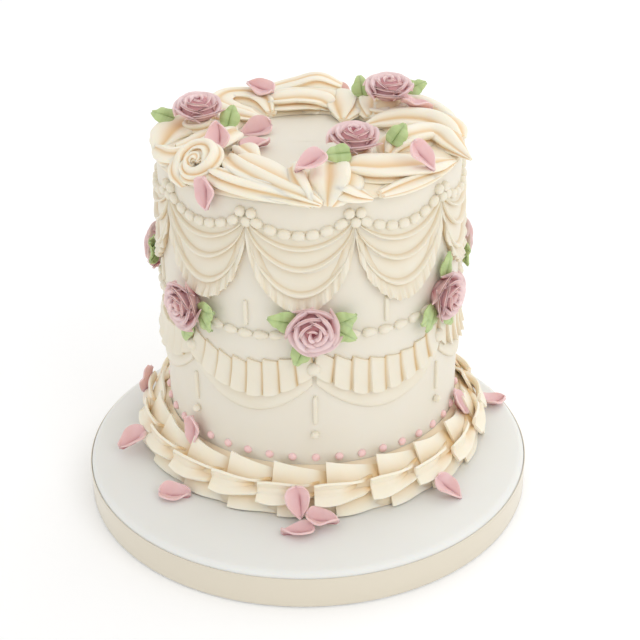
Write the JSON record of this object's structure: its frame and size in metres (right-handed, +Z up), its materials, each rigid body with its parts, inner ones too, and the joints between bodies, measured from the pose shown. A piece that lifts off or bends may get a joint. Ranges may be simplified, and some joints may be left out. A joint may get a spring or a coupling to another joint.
{
  "type": "iced celebration cake on a round board",
  "caption": "Tall round iced cake with piped swags, bead chains, a pleated frill, a scrolled rim, a frilled foot, sugar roses and leaves, on an iced board edged with ribbon.",
  "frame": {"origin": "centre of the board's underside", "axes": "+Z up, -Y towards the side that the picture shows, +X to the right of that view"},
  "size_m": [0.204, 0.2036, 0.1774],
  "materials": {
    "board_icing": "smooth matt sugar paste",
    "ribbon": "cream satin ribbon",
    "wall_icing": "smoothed ivory icing with piping",
    "border_icing": "piped cream icing",
    "rose_sugar": "matt dusty pink sugar paste",
    "leaf_sugar": "matt pale green sugar paste"
  },
  "bodies": {
    "root": {"board_ribbon": "ribbon", "cake": "wall_icing", "cake_board": "board_icing", "foot_frill": "border_icing", "foot_petal_1": "rose_sugar", "foot_petal_10": "rose_sugar", "foot_petal_11": "rose_sugar", "foot_petal_12": "rose_sugar", "foot_petal_13": "rose_sugar", "foot_petal_2": "rose_sugar", "foot_petal_3": "rose_sugar", "foot_petal_4": "rose_sugar", "foot_petal_5": "rose_sugar", "foot_petal_6": "rose_sugar", "foot_petal_7": "rose_sugar", "foot_petal_8": "rose_sugar", "foot_petal_9": "rose_sugar", "rim_border": "border_icing", "rim_leaf_1": "leaf_sugar", "rim_leaf_2": "leaf_sugar", "rim_leaf_3": "leaf_sugar", "rim_leaf_4": "leaf_sugar", "rim_leaf_5": "leaf_sugar", "rim_leaf_6": "leaf_sugar", "rim_petal_1": "rose_sugar", "rim_petal_10": "rose_sugar", "rim_petal_2": "rose_sugar", "rim_petal_3": "rose_sugar", "rim_petal_4": "rose_sugar", "rim_petal_5": "rose_sugar", "rim_petal_6": "rose_sugar", "rim_petal_7": "rose_sugar", "rim_petal_8": "rose_sugar", "rim_petal_9": "rose_sugar", "rim_rose_back": "rose_sugar", "rim_rose_front": "rose_sugar", "rim_rose_left": "rose_sugar", "side_leaf_1_1": "leaf_sugar", "side_leaf_1_2": "leaf_sugar", "side_leaf_2_1": "leaf_sugar", "side_leaf_2_2": "leaf_sugar", "side_leaf_2_3": "leaf_sugar", "side_leaf_3_1": "leaf_sugar", "side_leaf_3_2": "leaf_sugar", "side_leaf_3_3": "leaf_sugar", "side_leaf_4_1": "leaf_sugar", "side_leaf_5_1": "leaf_sugar", "side_leaf_5_2": "leaf_sugar", "side_leaf_6_1": "leaf_sugar", "side_leaf_6_2": "leaf_sugar", "side_leaf_7_1": "leaf_sugar", "side_rose_1": "rose_sugar", "side_rose_2": "rose_sugar", "side_rose_3": "rose_sugar", "side_rose_4": "rose_sugar", "side_rose_5": "rose_sugar", "side_rose_6": "rose_sugar", "side_rose_7": "rose_sugar"}
  },
  "joints": []
}
